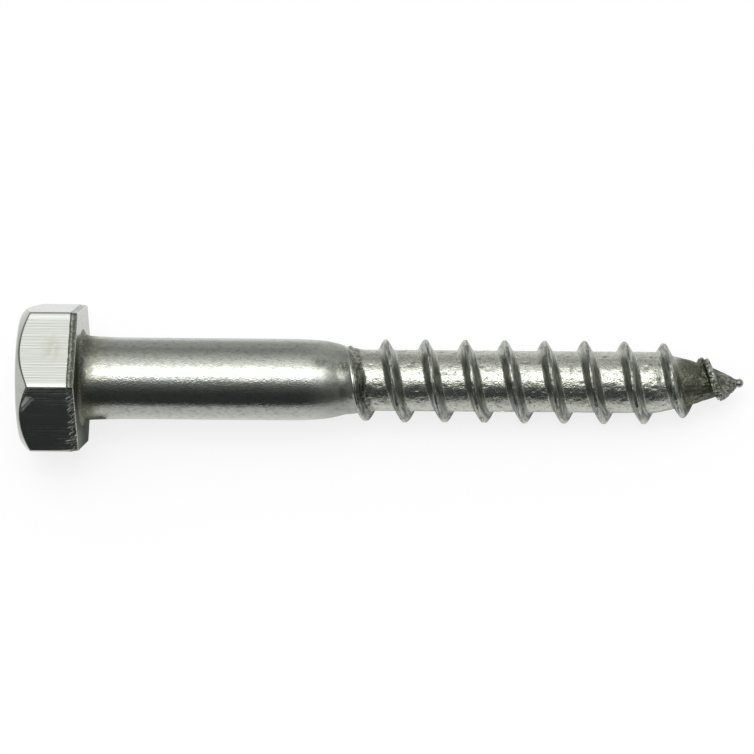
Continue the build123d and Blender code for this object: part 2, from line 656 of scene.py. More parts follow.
    def zones(
        self, on: BodySpots, lift: np.ndarray, height: np.ndarray, seam: np.ndarray
    ) -> dict[Zone, np.ndarray]:
        """Masks of the zones that the finish treats apart.

        Args:
            on: The points.
            lift: Height of the skin over the core, in mm.
            height: Height of the crest nearest to each, in mm.
            seam: How deep the seam is, from 0 to 1.

        Returns:
            The masks by zone.
        """
        groove = self.in_groove.at(lift) * self.threaded.at(on.along)
        flanks = self.on_flank.at(lift) * smooth_step(lift, 0.97 * height, 0.80 * height)
        flanks = flanks * self.tall_enough.at(height) * (1 - on.early * (on.offset < 0))
        seated = self.seated.at(on.along)
        grime = self.grimy.at(on.along) * self.grime_depth.at(lift)
        before = self.before_ridge.at(on.offset) * self.first_ridge.at(on.ridge_at)
        before = np.clip(before + self.before_thread.at(on.ridge_at), 0, 1)
        neck = self.neck.at(on.along) * before
        film_and_shade = largest(
            # Painted shade on the flanks for the shade and dark reflections between ridges, less
            # on their upper side
            (0.3 - 0.2 * self.upper_flank.at(np.degrees(on.angle))) * flanks,
            0.6 * seam,
            # Painted shade and painted reflection of the head on the shank's start
            1.15 * seated,
            # Painted shade in the pits of the grooves
            1.5 * on.pits * groove,
            0.1 * on.scraped,
            # Painted shade in the pit on the first ridge
            -6.0 * self.pit.at(on.along, on.angle),
            # Painted shade in the crease at the foot of the torn lip
            0.85 * on.torn * bell(on.offset, self.foot_place, self.foot_reach),
            self.smudge.at(on.along, on.angle) * (0.9 + 0.5 * on.waves),
            # Painted shade on the neck's upper side
            self.neck_shade(on) * neck,
            1.15 * grime,
        )
        return {
            Zone.GROOVE: groove,
            Zone.DULL: largest(
                0.45 * flanks, 0.42 * neck, on.scraped, 0.70 * grime, 0.4 * seated
            ),
            Zone.SCALE: film_and_shade,
            Zone.STAIN: largest(self.oiled_shank.at(on.along), 1.3 * grime),
            Zone.FRACTURE: largest(
                on.torn * smooth_step(lift, 0.05, 0.3),
                0.9 * self.pointed.at(on.along),
                0.95 * on.scraped,
            ),
            Zone.RIDGE: self.on_ridge.at(lift),
            Zone.ACROSS_RIDGE: on.offset,
            Zone.ALONG_RIDGE: on.ridge_at,
        }

    def neck_shade(self, on: BodySpots) -> np.ndarray:
        """Strength of the painted shade on the neck, darkest on its upper side.

        Args:
            on: The points.

        Returns:
            Strengths, zero away from the neck.
        """
        shade = 0.25 + 0.6 * bell(on.angle, self.shade_angle, self.shade_spread)
        deeper = 1 + 0.5 * self.shade_deepens.at(on.along)
        return shade * deeper * self.shaded.at(on.along)

    def build(self) -> bpy.types.Object:
        """Build the body's skin.

        Returns:
            The object in the row frame.
        """
        skin = SkinMesh("rolled_body", self.axes)
        angles = np.arange(self.around) * 2 * math.pi / self.around
        self.add_rings(skin, np.array(self.seat_rings), angles)
        skin.close(0, self.around)
        self.add_rings(skin, np.linspace(self.seat_rings[-1], self.flare_end, 14), angles)
        self.add_rings(skin, np.linspace(self.flare_end, self.grid_start, 46), angles)
        self.add_helical_grid(skin, angles)
        self.add_nib(skin, angles)
        return skin.build(self.merge)

    def add_rings(self, skin: SkinMesh, places: np.ndarray, angles: np.ndarray) -> None:
        """Add plain rings along the shank.

        Args:
            skin: Skin to add to.
            places: Distances of the rings, in mm.
            angles: Angles of the columns.
        """
        along, angle = np.meshgrid(places, angles, indexing="ij")
        radius, masks = self.surface(along, angle)
        skin.lace(skin.add_points(along, radius, angle, masks), len(places), len(angles))

    def add_helical_grid(self, skin: SkinMesh, angles: np.ndarray) -> None:
        """Add the thread's grid, whose rows follow the helix.

        Args:
            skin: Skin to add to.
            angles: Angles of the columns.
        """
        half = np.array(self.half_rows)
        offsets = np.concatenate((-half[:0:-1], half, [self.pitch / 2]))
        rows_per_turn = len(offsets)
        first_turn = math.floor((self.grid_start - self.crest_under_axis) / self.pitch) - 1
        last_turn = math.ceil((self.grid_end - self.crest_under_axis) / self.pitch) + 2
        turns = np.arange(first_turn, last_turn + 1)
        starts = (turns[:, None] * self.pitch + offsets[None, :]).ravel()
        shift = (270.0 - np.degrees(angles)) / 360.0 * self.pitch
        along = self.crest_under_axis + starts[:, None] + shift[None, :]
        clamped = np.clip(along, self.grid_start, self.grid_end)
        angle = np.broadcast_to(angles[None, :], along.shape)
        radius, masks = self.surface(clamped, angle)
        first = skin.add_points(clamped, radius, angle, masks)
        rows, count = along.shape
        inside = (along > self.grid_start) & (along < self.grid_end)
        for row in range(rows - 1):
            for column in range(count):
                after, then = column + 1, row
                if after == count:
                    after, then = 0, row - rows_per_turn
                if then < 0:
                    continue
                corners = ((row, column), (then, after), (then + 1, after), (row + 1, column))
                if any(inside[r, c] for r, c in corners):
                    skin.faces.append(tuple(first + r * count + c for r, c in corners))

    def add_nib(self, skin: SkinMesh, angles: np.ndarray) -> None:
        """Add the small ball end of the point.

        Args:
            skin: Skin to add to.
            angles: Angles of the columns.
        """
        start = -math.acos(self.nib_neck / self.nib_radius)
        turned = np.linspace(start, math.radians(88), 12)
        places = self.nib_centre + self.nib_radius * np.sin(turned)
        along = np.concatenate(([self.grid_end], places))
        radii = np.concatenate(([0.0], self.nib_radius * np.cos(turned)))
        grid, angle = np.meshgrid(along, angles, indexing="ij")
        radius = np.broadcast_to(radii[:, None], grid.shape).copy()
        radius[0] = self.surface(grid[0], angle[0])[0]
        first = skin.add_points(grid, radius, angle, {Zone.SCALE: 0.5 * np.ones_like(grid)})
        skin.lace(first, len(along), len(angles))
        skin.close(skin.count - len(angles), len(angles), -1)


@dataclass
class ForgedHead:
    """Hexagon head, forged, then trimmed along its flats toward the shank.

    Flat 0 faces the front and up, flat 1 lies on top, and so on over the back.
    """

    axes: ScrewAxes
    across_flats: float = 12.74
    height: float = 5.496
    corner_blend: float = 0.20
    worn_corner_blend: float = 0.36
    worn_corner: Fade = Fade(12.0, 6.0)
    # The turned chamfer runs a little out of true: its radius by angle
    chamfer_turns: tuple[float, ...] = (0, 30, 60, 90, 120, 180, 240, 300, 360)
    chamfer_radii: tuple[float, ...] = (6.00, 5.89, 5.78, 5.86, 5.92, 5.72, 5.77, 5.86, 6.00)
    chamfer_angle: float = 40.0
    edge_rounding: float = 0.6
    crease_blend: float = 0.16
    trim_length: float = 0.65
    trim_inset: float = 0.09
    trim_step: float = 0.03
    mark_spacing: float = 0.27
    mark_depth: float = 0.0066
    marked: Fade = Fade(3.60, 3.2)
    shear_depth: float = 0.075
    sheared: Fade = Fade(3.6, 2.4)
    shear_slant: float = 0.9
    # How far the top flat stands up toward its back edge and falls off at its front
    flat_edge_rise: float = 0.034
    rising_edge: Fade = Fade(3.50, 2.95)
    flat_edge_fall: float = 0.030
    falling_edge: Fade = Fade(-3.20, -3.68)
    rim_rounding: float = 0.09
    # Scuffed facet on flat 0 by the chamfer: level and place of its ends, half width, depth
    dent_ends: tuple[tuple[float, float], tuple[float, float]] = ((-4.00, 2.50), (-4.85, 1.20))
    dent_half_width: float = 0.37
    dent_depth: float = 0.18
    dent_run: Band = Band(-0.12, 0.15, 0.75, 1.25)
    dent_edge: Fade = Fade(1.0, 0.45)
    # Oil stain on the top flat: level and place, and its reach along both
    stain: tuple[float, float] = (-2.1, 0.1)
    stain_reach: tuple[float, float] = (0.8, 1.0)
    # Spacing of the bands of painted shade along the top flat's trimmed strip, which stands for
    # the dark reflection of its tilted face
    band_spacing: float = 0.42
    # Coordinate round the head: where flat 0 lies, the step to the next and the whole
    flat_start: float = 4.0
    flat_step: float = 9.0
    flats_length: float = 60.0
    steps_per_flat: int = 130
    corner_crowding: float = 1.2
    end_shares: tuple[float, ...] = (0.05, 0.22, 0.40, 0.58, 0.76, 0.89, 0.996)
    bearing_shares: tuple[float, ...] = (0.0, 0.06, 0.15, 0.3, 0.5, 0.7, 0.85, 0.95, 1.0)
    bearing_inner: float = 3.6
    merge: float = 1e-7

    def __post_init__(self) -> None:
        """Prepare the random relief, all of it seeded."""
        period = self.flats_length
        self.jitter = SurfaceNoise(23, (1.0, 0.8), period)
        self.hairs = SurfaceNoise(27, (1.0, 0.11), period)
        self.broad = SurfaceNoise(29, (1.0, 0.6), period)
        self.grit = SurfaceNoise(31, (0.15, 0.13), period)
        self.tears = SurfaceNoise(33, (0.50, 0.11), period)
        self.edge = SurfaceNoise(37, (1.0, 0.30), period)
        self.fading = SurfaceNoise(47, (1.5, 0.27), period)

    def perimeter(self) -> tuple[np.ndarray, np.ndarray, np.ndarray]:
        """Angles round the hexagon, closer together at its corners.

        Returns:
            Angles in radians, and for each the flat it is on and its
            distance from the middle of that flat in mm.
        """
        share = (np.arange(self.steps_per_flat) + 0.5) / self.steps_per_flat * 2 - 1
        across = np.sign(share) * (1 - (1 - np.abs(share)) ** self.corner_crowding)
        reach = across * math.tan(math.radians(30))
        middles = np.radians(30 + 60 * np.arange(6))
        angles = (middles[:, None] + np.arctan(reach)[None, :]).ravel()
        flats = np.repeat(np.arange(6), len(share))
        return angles, flats, np.tile(reach * self.across_flats / 2, 6)

    def hexagon_radius(self, angle: np.ndarray) -> np.ndarray:
        """Radius of the hexagon with rounded corners.

        Args:
            angle: Angles, in radians.

        Returns:
            Radii in mm.
        """
        turned = np.mod(angle, math.pi / 3) - math.pi / 6
        half = self.across_flats / 2
        own = half / np.cos(turned)
        neighbour = half / np.cos(math.pi / 3 - np.abs(turned))
        front = np.degrees(np.mod(angle + math.pi, 2 * math.pi) - math.pi)
        worn = self.worn_corner.at(np.abs(front))
        blend = self.corner_blend + (self.worn_corner_blend - self.corner_blend) * worn
        return soft_min(own, neighbour, blend)

    def unrolled(self, flat: np.ndarray, place: np.ndarray) -> np.ndarray:
        """Coordinate round the head that keeps each flat's relief apart."""
        return place + self.flat_start + flat * self.flat_step

    def trim_marks(self, flat: np.ndarray, place: np.ndarray) -> np.ndarray:
        """Depth of the fine trimming lines that run along each flat.

        Args:
            flat: Number of the flat for each column.
            place: Distance from the flat's middle, in mm.

        Returns:
            Depths in mm, near zero at the corners.
        """
        line = flat * 1.0
        coordinate = self.unrolled(flat, place)
        phase = coordinate / self.mark_spacing + 0.30 * self.jitter.at(line, coordinate)
        ribs = np.clip(np.cos(2 * math.pi * phase) - 0.35, 0.0, 1.0) * 1.5
        depth = ribs * (0.75 + 0.5 * self.broad.at(line, coordinate))
        depth = depth + 0.35 * self.hairs.at(line, coordinate)
        depth = depth * (0.22 + 0.78 * (flat == 1) + 0.28 * (flat == 0))
        return self.mark_depth * depth * self.marked.at(np.abs(place))

    def build(self) -> bpy.types.Object:
        """Build the head's skin.

        Returns:
            The object in the row frame.
        """
        skin = SkinMesh("forged_head", self.axes)
        angle, flat, place = self.perimeter()
        rows = self.end_rows(angle) + self.side_rows(angle, flat, place)
        rows += self.bearing_rows(angle, rows[-1][1])
        for along, radius, masks in rows:
            skin.add_points(along * np.ones_like(angle), radius, angle, masks)
        skin.lace(0, len(rows), len(angle))
        skin.close(0, len(angle), -1)
        skin.close(skin.count - len(angle), len(angle))
        return skin.build(self.merge)

    def chamfer_radius(self, angle: np.ndarray) -> np.ndarray:
        """Radius of the chamfer's circle on the end.

        Args:
            angle: Angles, in radians.

        Returns:
            Radii in mm.
        """
        turned = np.mod(np.degrees(angle), 360.0)
        low = np.searchsorted(self.chamfer_turns, turned, side="right") - 1
        low = np.clip(low, 0, len(self.chamfer_turns) - 2)
        turns, radii = np.array(self.chamfer_turns), np.array(self.chamfer_radii)
        share = smooth_step(turned, turns[low], turns[low + 1])
        return radii[low] + (radii[low + 1] - radii[low]) * share

    def end_rows(self, angle: np.ndarray) -> list[Row]:
        """Rows over the flat end and its rounded edge.

        Args:
            angle: Angles of the columns.

        Returns:
            For each row the distances, the radii and the masks.
        """
        tangent = self.edge_rounding * math.tan(math.radians(self.chamfer_angle / 2))
        flat_radius = self.chamfer_radius(angle) - tangent
        rows = [(-self.height, flat_radius * share, {}) for share in self.end_shares]
        for turned in np.radians(np.linspace(0, self.chamfer_angle, 7)):
            along = self.edge_rounding * (1 - math.cos(turned)) - self.height
            rows.append((along, flat_radius + self.edge_rounding * math.sin(turned), {}))
        return rows

    def side_levels(self) -> np.ndarray:
        """Distances of the rows over the chamfer, the flats and the trimmed strip.

        Returns:
            Distances along the axis, in mm.
        """
        turned = math.radians(self.chamfer_angle)
        cone_start = self.edge_rounding * (1 - math.cos(turned)) - self.height
        return np.concatenate(
            (
                np.linspace(cone_start + 0.04, -3.85, 40),
                np.linspace(-3.75, -self.trim_length - 0.16, 16),
                np.linspace(-self.trim_length - 0.08, -self.rim_rounding, 16),
            )
        )

    def side_rows(self, angle: np.ndarray, flat: np.ndarray, place: np.ndarray) -> list[Row]:
        """Rows over the chamfer, the flats and the torn strip by the shank.

        Args:
            angle: Angles of the columns.
            flat: Number of each column's flat.
            place: Distance of each column from its flat's middle.

        Returns:
            For each row the distances, the radii and the masks.
        """
        ones = np.ones_like(angle)
        slope = math.tan(math.radians(self.chamfer_angle))
        marks, circle = self.trim_marks(flat, place), self.chamfer_radius(angle)
        coordinate = self.unrolled(flat, place)
        ragged = 0.03 + 0.40 * (flat == 0) + 0.12 * (flat > 1)
        reach = self.trim_length * (1 + ragged * self.edge.at(0 * ones, coordinate))
        edges = self.flat_edge_rise * self.rising_edge.at(place)
        edges = (edges + self.flat_edge_fall * self.falling_edge.at(place)) * (flat == 1)
        hexagon = self.hexagon_radius(angle) - edges
        shear = self.shear_depth * (0.2 + 0.8 * (flat == 0) + 0.1 * (flat > 1))
        shear = shear * self.sheared.at(place)
        rows = []
        for level in self.side_levels():
            cone = circle + (level + self.height) / slope
            torn = smooth_step(level + reach, -0.02, 0.06)
            depth = np.clip((level + reach) / reach, 0, 1)
            shreds = self.tears.at(level * ones, coordinate - self.shear_slant * level)
            rough = 0.5 * self.grit.at(level * ones, coordinate)
            rough = rough + 0.9 * smooth_step(shreds, -0.1, 0.45) - 0.3
            scuff = self.dent(level, flat, place)
            fading = 0.8 + 0.5 * self.fading.at(level * ones, coordinate)
            side = hexagon - marks * fading * (1 - torn) - scuff * self.dent_depth
            side = side - torn * (self.trim_inset * depth + self.trim_step)
            side = side + torn * shear * np.clip(rough, -1, 0.6)
            side = np.minimum(side, self.axes.floor_limit(level * ones, angle))
            turned = 2 * math.pi * (level + self.trim_length) / self.band_spacing
            # Painted shade along the crease between the chamfer and the flats
            crease = smooth_step(np.abs(side - cone), 0.08, 0.02)
            # Painted shade on the top flat's trimmed strip, in bands, for the dark reflection of
            # its tilted face
            strip = torn * (0.75 + 0.25 * math.cos(turned)) * (flat == 1)
            stain = bell(level, self.stain[0], self.stain_reach[0]) * (flat == 1)
            lines = np.clip(marks / self.mark_depth, 0, 0.8) * fading * (flat == 0)
            bright = torn * (flat == 0) * smooth_step(shreds, 0.10, 0.32)
            masks = {
                Zone.FRACTURE: torn * (0.5 + 0.5 * (flat == 0)) * (1 - bright),
                Zone.STAIN: stain * bell(place, self.stain[1], self.stain_reach[1]),
                Zone.SCALE: largest(0.6 * crease, 0.20 * (side > cone + 0.05), 1.75 * strip),
                Zone.DULL: largest(0.45 * (scuff > 0.02), 0.3 * bright, lines * (1 - torn)),
            }
            rows.append((level, soft_min(side, cone, self.crease_blend), masks))
        return rows

    def dent(self, level: float, flat: np.ndarray, place: np.ndarray) -> np.ndarray:
        """Share of the scuffed facet's depth on flat 0.

        Args:
            level: Distance along the axis, in mm.
            flat: Number of each column's flat.
            place: Distance of each column from its flat's middle.

        Returns:
            Values from 0 to 1.
        """
        (near_level, near_place), (far_level, far_place) = self.dent_ends
        run, drop = far_level - near_level, far_place - near_place
        length = math.hypot(run, drop)
        from_level, from_place = level - near_level, place - near_place
        share = (from_level * run + from_place * drop) / length**2
        width = self.dent_half_width * (1.0 - 0.35 * np.clip(share, 0.0, 1.0))
        across = (from_place * run - from_level * drop) / length / width
        ramp = np.clip((across + 1.0) / 1.5, 0.0, 1.0) * self.dent_edge.at(across)
        return ramp * self.dent_run.at(share) * (flat == 0)

    def bearing_rows(self, angle: np.ndarray, rim: np.ndarray) -> list[Row]:
        """Rows over the bearing face, in to the shank.

        Args:
            angle: Angles of the columns.
            rim: Radius of the last row of the side.

        Returns:
            For each row the distances, the radii and the masks.
        """
        rows = []
        for turned in np.radians((30.0, 60.0)):
            inward = self.rim_rounding * (1 - math.cos(turned))
            rows.append((-self.rim_rounding * (1 - math.sin(turned)), rim - inward, {}))
        # Painted shade on the bearing face, darkest on its front and lower side, which faces the
        # shaded floor under the shank
        shaded = 0.35 + 0.65 * smooth_step(np.cos(angle - math.radians(20)), -0.2, 0.7)
        for share in self.bearing_shares:
            radius = (rim - self.rim_rounding) * (1 - share) + self.bearing_inner * share
            # Painted shade toward the shank, carried by the stain zone and the added scale
            stain = 0.5 * share * np.ones_like(angle)
            masks = {Zone.SCALE: shaded * (1.25 + 0.3 * share), Zone.STAIN: stain}
            rows.append((0.0, radius, masks))
        return rows


class NodeWiring:
    """Short ways to place and join nodes in one tree."""

    def __init__(self, tree: bpy.types.NodeTree) -> None:
        """Keep the tree."""
        self.tree = tree

    def feed(self, inputs: bpy.types.bpy_prop_collection, values: dict) -> None:
        """Set the inputs of a node to values, or join them to outputs.

        Args:
            inputs: The node's inputs.
            values: Number, tuple or output socket for each, by name or number.
        """
        for key, value in values.items():
            if isinstance(value, bpy.types.NodeSocket):
                self.tree.links.new(value, inputs[key])
            else:
                inputs[key].default_value = value

    def add(self, kind: str, values: dict, **settings: object) -> bpy.types.bpy_prop_collection:
        """Place a node, set it up and feed its inputs.

        Args:
            kind: Blender's name of the node, after ShaderNode.
            values: Number, tuple or output socket for its inputs.
            settings: The node's own settings.

        Returns:
            The node's outputs.
        """
        node = self.tree.nodes.new("ShaderNode" + kind)
        for name, value in settings.items():
            setattr(node, name, value)
        self.feed(node.inputs, values)
        return node.outputs

    def zone(self, zone: Zone) -> bpy.types.NodeSocket:
        """Read the values of a zone."""
        return self.add("Attribute", {}, attribute_name=zone.value)["Fac"]

    def place(self) -> bpy.types.NodeSocket:
        """Read the places in the screw's own axes, in mm."""
        return self.add("Attribute", {}, attribute_name="axis_place")["Vector"]

    def math(self, operation: str, *values: object) -> bpy.types.NodeSocket:
        """Calculate with one to three values or sockets."""
        return self.add("Math", dict(enumerate(values)), operation=operation)[0]

    def ramp(self, value: object, low: float, high: float) -> bpy.types.NodeSocket:
        """Smooth rise of a value or socket from 0 at low to 1 at high."""
        values = {"Value": value, "From Min": low, "From Max": high}
        return self.add("MapRange", values, interpolation_type="SMOOTHSTEP")["Result"]

    def mix_color(self, share: object, a: object, b: object) -> bpy.types.NodeSocket:
        """Mix two colours by the share of the second."""
        return self.add("Mix", {0: share, 6: a, 7: b}, data_type="RGBA")[2]

    def mix_value(self, share: object, a: object, b: object) -> bpy.types.NodeSocket:
        """Mix two values by the share of the second."""
        return self.add("Mix", {0: share, 2: a, 3: b})[0]

    def noise(self, place: object, scale: object, detail: float) -> bpy.types.NodeSocket:
        """Noise over a place, with its scale in cells per mm."""
        return self.add("TexNoise", {"Vector": place, "Scale": scale, "Detail": detail})["Fac"]

    def shade(self, values: dict) -> None:
        """Feed the inputs of the material's shader."""
        self.feed(self.tree.nodes["Principled BSDF"].inputs, values)


def new_material(name: str) -> tuple[bpy.types.Material, NodeWiring]:
    """Make a material with a plain shader.

    Args:
        name: Name of the material.

    Returns:
        The material and the wiring of its tree.
    """
    material = bpy.data.materials.new(name)
    material.use_nodes = True
    return material, NodeWiring(material.node_tree)


# Kinds of the sockets that every node group of the finishes has, and of the one for relief
SURFACE = {"Color": "Color", "Roughness": "Float"}
RELIEF = {"Height": "Float"}


@dataclass
class FinishGroups:
    """Shader node groups that both finishes use, each built once.

    Scales are in cells per mm, and a window gives the noise levels that a ramp spans.
    """

    # Grain: flakes, a mottling by a share of their scale, clouds and rolling streaks
    mottle_share: float = 0.30
    cloud_scale: float = 0.55
    streak_scale: tuple[float, float] = (6.0, 4.0)
    streak_height: float = 7.5
    fleck_window: tuple[float, float] = (0.54, 0.72)
    score_window: tuple[float, float] = (0.47, 0.57)
    score_strength: float = 2.2
    blotch_window: tuple[float, float] = (0.45, 0.75)
    mottle_height: float = 0.7
    mottle_roughness: float = 0.10
    cloud_roughness: float = 0.08
    groove_roughness: float = 0.06
    groove_height: float = 1.1
    groove_flecks: float = 1.5
    groove_cleaned: float = 0.45
    clean_metal: tuple[float, ...] = (0.60, 0.61, 0.53, 1.0)
    dark_metal: tuple[float, ...] = (0.10, 0.11, 0.09, 1.0)
    # Film: oil in blots, and scale and painted shade in specks over an even share
    oil_scale: float = 1.6
    oil_window: tuple[float, float] = (0.32, 0.60)
    speck_scale: float = 5.5
    speck_window: tuple[float, float] = (0.30, 0.55)
    speck_share: float = 0.45
    scale_and_shade_roughness: float = 0.20
    oil_roughness: float = 0.10
    # Torn metal: shreds over an even share of their darkness
    shred_scale: float = 3.6
    shred_window: tuple[float, float] = (0.38, 0.62)
    shred_height: float = 2.8
    even_share: float = 0.6

    def __post_init__(self) -> None:
        """Build each group."""
        self.grain = self.build_grain()
        self.film_and_shade = self.build_film_and_shade()
        self.torn = self.build_torn()

    def start_group(
        self, name: str, inputs: dict[str, str], outputs: dict[str, str]
    ) -> tuple[NodeWiring, bpy.types.bpy_prop_collection, bpy.types.bpy_prop_collection]:
        """Make a node group with named sockets, after those that every group has.

        Args:
            name: Name of the group.
            inputs: Kind of each further input socket.
            outputs: Kind of each further output socket.

        Returns:
            Its wiring, the values given to it and the sockets of its results.
        """
        tree = bpy.data.node_groups.new(name, "ShaderNodeTree")
        for direction, sockets in (("INPUT", inputs), ("OUTPUT", outputs)):
            for label, kind in {**SURFACE, **sockets}.items():
                tree.interface.new_socket(label, in_out=direction, socket_type="NodeSocket" + kind)
        given = tree.nodes.new("NodeGroupInput").outputs
        return NodeWiring(tree), given, tree.nodes.new("NodeGroupOutput").inputs

    def build_grain(self) -> bpy.types.NodeTree:
        """Build the fine flakes and mottling of drawn metal.

        Returns:
            The node group.
        """
        inputs = {"Fineness": "Float", "Stretch": "Vector", "Speckle": "Float"}
        wire, given, out = self.start_group("drawn_grain", inputs, RELIEF)
        place, groove = wire.place(), wire.zone(Zone.GROOVE)
        drawn = wire.add("VectorMath", {0: place, 1: given["Stretch"]}, operation="MULTIPLY")[0]
        flakes = wire.noise(drawn, given["Fineness"], 2.0)
        coarse = wire.math("MULTIPLY", given["Fineness"], self.mottle_share)
        mottle = wire.noise(drawn, coarse, 3.0)
        cloud = wire.noise(place, self.cloud_scale, 2.0)
        across = wire.math("MULTIPLY", wire.zone(Zone.ACROSS_RIDGE), self.streak_scale[0])
        along = wire.math("MULTIPLY", wire.zone(Zone.ALONG_RIDGE), self.streak_scale[1])
        rolled = wire.add("CombineXYZ", {"X": across, "Y": along})["Vector"]
        streaks = wire.math("MULTIPLY", wire.noise(rolled, 1.0, 3.0), wire.zone(Zone.RIDGE))
        flecks = wire.math("MULTIPLY", wire.ramp(flakes, *self.fleck_window), given["Speckle"])
        amount = wire.math("MULTIPLY_ADD", groove, self.groove_flecks, 1.0)
        flecks = wire.math("MULTIPLY", flecks, amount)
        scores = wire.math("MULTIPLY", wire.ramp(streaks, *self.score_window), given["Speckle"])
        scores = wire.math("MULTIPLY", scores, self.score_strength)
        blotch = wire.math("MULTIPLY", wire.ramp(mottle, *self.blotch_window), given["Speckle"])
        darker = wire.math("MAXIMUM", wire.math("MAXIMUM", flecks, scores), blotch)
        cleaner = wire.math("MULTIPLY", groove, self.groove_cleaned)
        color = wire.mix_color(cleaner, given["Color"], self.clean_metal)
        rough = given["Roughness"]
        for noise, amount in ((mottle, self.mottle_roughness), (cloud, self.cloud_roughness)):
            rough = wire.math("SUBTRACT", rough, amount / 2)
            rough = wire.math("MULTIPLY_ADD", noise, amount, rough)
        height = wire.math("MULTIPLY_ADD", mottle, self.mottle_height, flakes)
        raised = wire.math("MULTIPLY_ADD", groove, self.groove_height, 1.0)
        height = wire.math("MULTIPLY", height, raised)
        results = {
            "Color": wire.mix_color(darker, color, self.dark_metal),
            "Roughness": wire.math("MULTIPLY_ADD", groove, self.groove_roughness, rough),
            "Height": wire.math("MULTIPLY_ADD", streaks, self.streak_height, height),
        }
        wire.feed(out, results)
        return wire.tree

    def build_film_and_shade(self) -> bpy.types.NodeTree:
        """Build the dark scale and the painted shade in corners and on shaded sides, the oil
        stains and the dull wear.

        Returns:
            The node group.
        """
        inputs = {"Scale and Shade Color": "Color", "Scale and Shade Strength": "Float", "Oil Color": "Color"}
        inputs |= {"Oil Strength": "Float", "Dull Roughness": "Float"}
        wire, given, out = self.start_group("scale_oil_and_shade", inputs, {})
        place, scale = wire.place(), wire.zone(Zone.SCALE)
        specks = wire.ramp(wire.noise(place, self.speck_scale, 2.0), *self.speck_window)
        even = wire.math("MULTIPLY", scale, 1.0 - self.speck_share)
        specks = wire.math("MULTIPLY", scale, specks)
        crust_and_shade = wire.math("MULTIPLY_ADD", specks, self.speck_share, even)
        crust_and_shade = wire.math("MULTIPLY", crust_and_shade, given["Scale and Shade Strength"])
        blots = wire.ramp(wire.noise(place, self.oil_scale, 4.0), *self.oil_window)
        oil = wire.math("MULTIPLY", wire.zone(Zone.STAIN), blots)
        oil = wire.math("MULTIPLY", oil, given["Oil Strength"])
        color = wire.mix_color(oil, given["Color"], given["Oil Color"])
        color = wire.mix_color(crust_and_shade, color, given["Scale and Shade Color"])
        rough = wire.math("MULTIPLY_ADD", crust_and_shade, self.scale_and_shade_roughness, given["Roughness"])
        rough = wire.math("MULTIPLY_ADD", oil, self.oil_roughness, rough)
        rough = wire.mix_value(wire.zone(Zone.DULL), rough, given["Dull Roughness"])
        wire.feed(out, {"Color": color, "Roughness": rough})
        return wire.tree

    def build_torn(self) -> bpy.types.NodeTree:
        """Build the rough, darker metal of torn and sheared places.

        Returns:
            The node group.
        """
        inputs = {"Torn Color": "Color", "Torn Strength": "Float", "Torn Roughness": "Float"}
        wire, given, out = self.start_group("torn_metal", {**RELIEF, **inputs}, RELIEF)
        torn = wire.zone(Zone.FRACTURE)
        shreds = wire.noise(wire.place(), self.shred_scale, 3.0)
        share = wire.math("MULTIPLY", torn, wire.ramp(shreds, *self.shred_window))
        dark = wire.math("MULTIPLY", share, given["Torn Strength"])
        even = wire.math("MULTIPLY", given["Torn Strength"], self.even_share)
        dark = wire.math("MULTIPLY_ADD", torn, even, dark)
        raised = wire.math("MULTIPLY", shreds, torn)
        results = {
            "Color": wire.mix_color(dark, given["Color"], given["Torn Color"]),
            "Roughness": wire.mix_value(torn, given["Roughness"], given["Torn Roughness"]),
            "Height": wire.math("MULTIPLY_ADD", raised, self.shred_height, given["Height"]),
        }
        wire.feed(out, results)
        return wire.tree


@dataclass(frozen=True)
class SteelFinish:
    """A bright steel surface with the traces of its making."""

    name: str
    metal: tuple[float, float, float] = (0.445, 0.458, 0.415)
    # Colour of scale and of the painted shade carried with it; torn places take it too
    scale: tuple[float, float, float] = (0.075, 0.083, 0.060)
    oil: tuple[float, float, float] = (0.215, 0.195, 0.10)
    roughness: float = 0.16
    torn_roughness: float = 0.30
    dull_roughness: float = 0.52
    scale_and_shade_strength: float = 0.78
    oil_strength: float = 0.55
    torn_strength: float = 0.52
    fineness: float = 8.0
    stretch: float = 0.8
    speckle: float = 0.30
    # Height of the grain, in metres
    relief: float = 0.000018

    def material(self, groups: FinishGroups) -> bpy.types.Material:
        """Make the material.

        Args:
            groups: The shared shader node groups.

        Returns:
            The material.
        """
        material, wire = new_material(self.name)
        grain = {
            "Fineness": self.fineness,
            "Stretch": (self.stretch, 1.0, 1.0),
            "Color": (*self.metal, 1.0),
            "Speckle": self.speckle,
            "Roughness": self.roughness,
        }
        grain = wire.add("Group", grain, node_tree=groups.grain)
        film_and_shade = {
            "Color": grain["Color"],
            "Roughness": grain["Roughness"],
            "Scale and Shade Color": (*self.scale, 1.0),
            "Scale and Shade Strength": self.scale_and_shade_strength,
            "Oil Color": (*self.oil, 1.0),
            "Oil Strength": self.oil_strength,
            "Dull Roughness": self.dull_roughness,
        }
        film_and_shade = wire.add("Group", film_and_shade, node_tree=groups.film_and_shade)
        torn = {
            "Color": film_and_shade["Color"],
            "Roughness": film_and_shade["Roughness"],
            "Height": grain["Height"],
            "Torn Color": (*self.scale, 1.0),
            "Torn Strength": self.torn_strength,
            "Torn Roughness": self.torn_roughness,
        }
        torn = wire.add("Group", torn, node_tree=groups.torn)
        bump = wire.add("Bump", {"Distance": self.relief, "Height": torn["Height"]})
        wire.shade({"Metallic": 1.0, "Base Color": torn["Color"]})
        wire.shade({"Roughness": torn["Roughness"], "Normal": bump["Normal"]})
        return material


@dataclass(frozen=True)
class Card:
    """A card that shows only in the steel, as in a product studio.

    Its outline gives (Y, Z) in mm and its span the two ends along X.
    """

    name: str
    outline: tuple[tuple[float, float], ...]
    level: float
    span: tuple[float, float] = (-600.0, 600.0)


